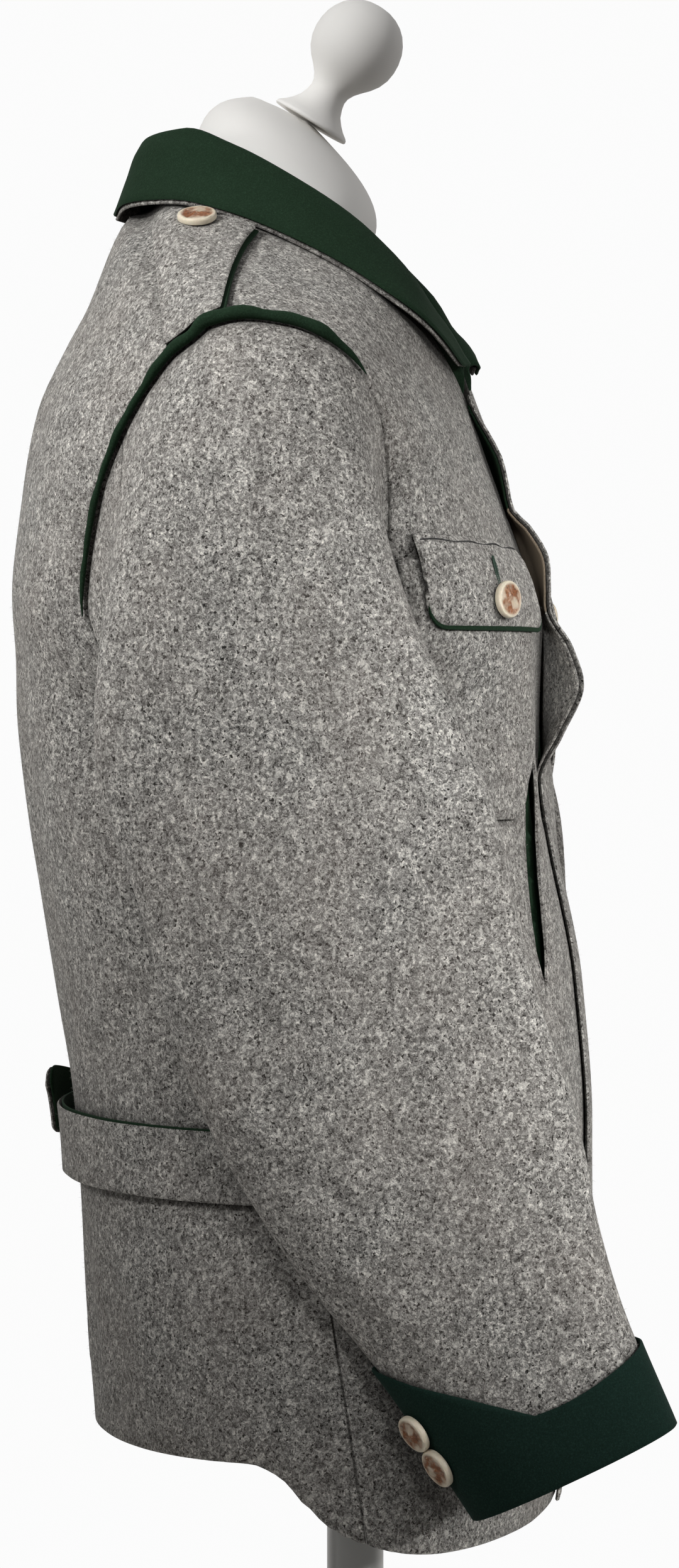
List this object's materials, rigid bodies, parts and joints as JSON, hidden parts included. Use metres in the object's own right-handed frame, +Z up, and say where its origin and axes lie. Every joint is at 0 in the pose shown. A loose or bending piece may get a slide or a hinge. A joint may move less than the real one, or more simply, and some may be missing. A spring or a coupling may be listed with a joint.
{
  "type": "tyrolean loden jacket on a dress form",
  "caption": "Grey loden jacket with green felt collar, cuffs and edging, chest flap pockets and a half belt, worn by a limbless dress form on a round stand.",
  "frame": {"origin": "centre of the underside of the stand's base, where it meets the floor or table", "axes": "+Z up, the jacket's front faces -Y, its left side is +X"},
  "size_m": [0.5348, 0.3846, 0.9961],
  "materials": {
    "grey_loden": "fulled wool, grey melange, short nap",
    "green_felt": "dense wool felt",
    "taupe_placket": "smooth woven facing",
    "stag_horn": "polished stag horn, cream with a brown core",
    "form_cover": "tight off-white jersey",
    "stand_metal": "satin"
  },
  "bodies": {
    "root": {"armhole_roll_left": "green_felt", "armhole_roll_right": "green_felt", "back_left": "grey_loden", "back_right": "grey_loden", "belt_lining_left": "green_felt", "belt_lining_right": "green_felt", "chest_pocket_left": "grey_loden", "chest_pocket_right": "grey_loden", "collar": "green_felt", "cuff_button_1_left": "stag_horn", "cuff_button_1_right": "stag_horn", "cuff_button_2_left": "stag_horn", "cuff_button_2_right": "stag_horn", "cuff_left": "green_felt", "cuff_right": "green_felt", "flap_button_left": "stag_horn", "flap_button_right": "stag_horn", "flap_edge_left": "green_felt", "flap_edge_right": "green_felt", "fly_placket": "taupe_placket", "form_knob": "form_cover", "form_torso": "form_cover", "front_facing_lower": "green_felt", "front_facing_upper": "green_felt", "front_left": "grey_loden", "front_right": "grey_loden", "half_belt_left": "grey_loden", "half_belt_right": "grey_loden", "pocket_flap_left": "grey_loden", "pocket_flap_right": "grey_loden", "shoulder_strap_left": "grey_loden", "shoulder_strap_right": "grey_loden", "slit_facing_left": "green_felt", "slit_facing_right": "green_felt", "stand_base": "stand_metal", "stand_pole": "stand_metal", "strap_button_left": "stag_horn", "strap_button_right": "stag_horn", "strap_edge_left": "green_felt", "strap_edge_right": "green_felt", "top_sleeve_left": "grey_loden", "top_sleeve_right": "grey_loden", "under_collar": "grey_loden", "under_sleeve_left": "grey_loden", "under_sleeve_right": "grey_loden"}
  },
  "joints": []
}
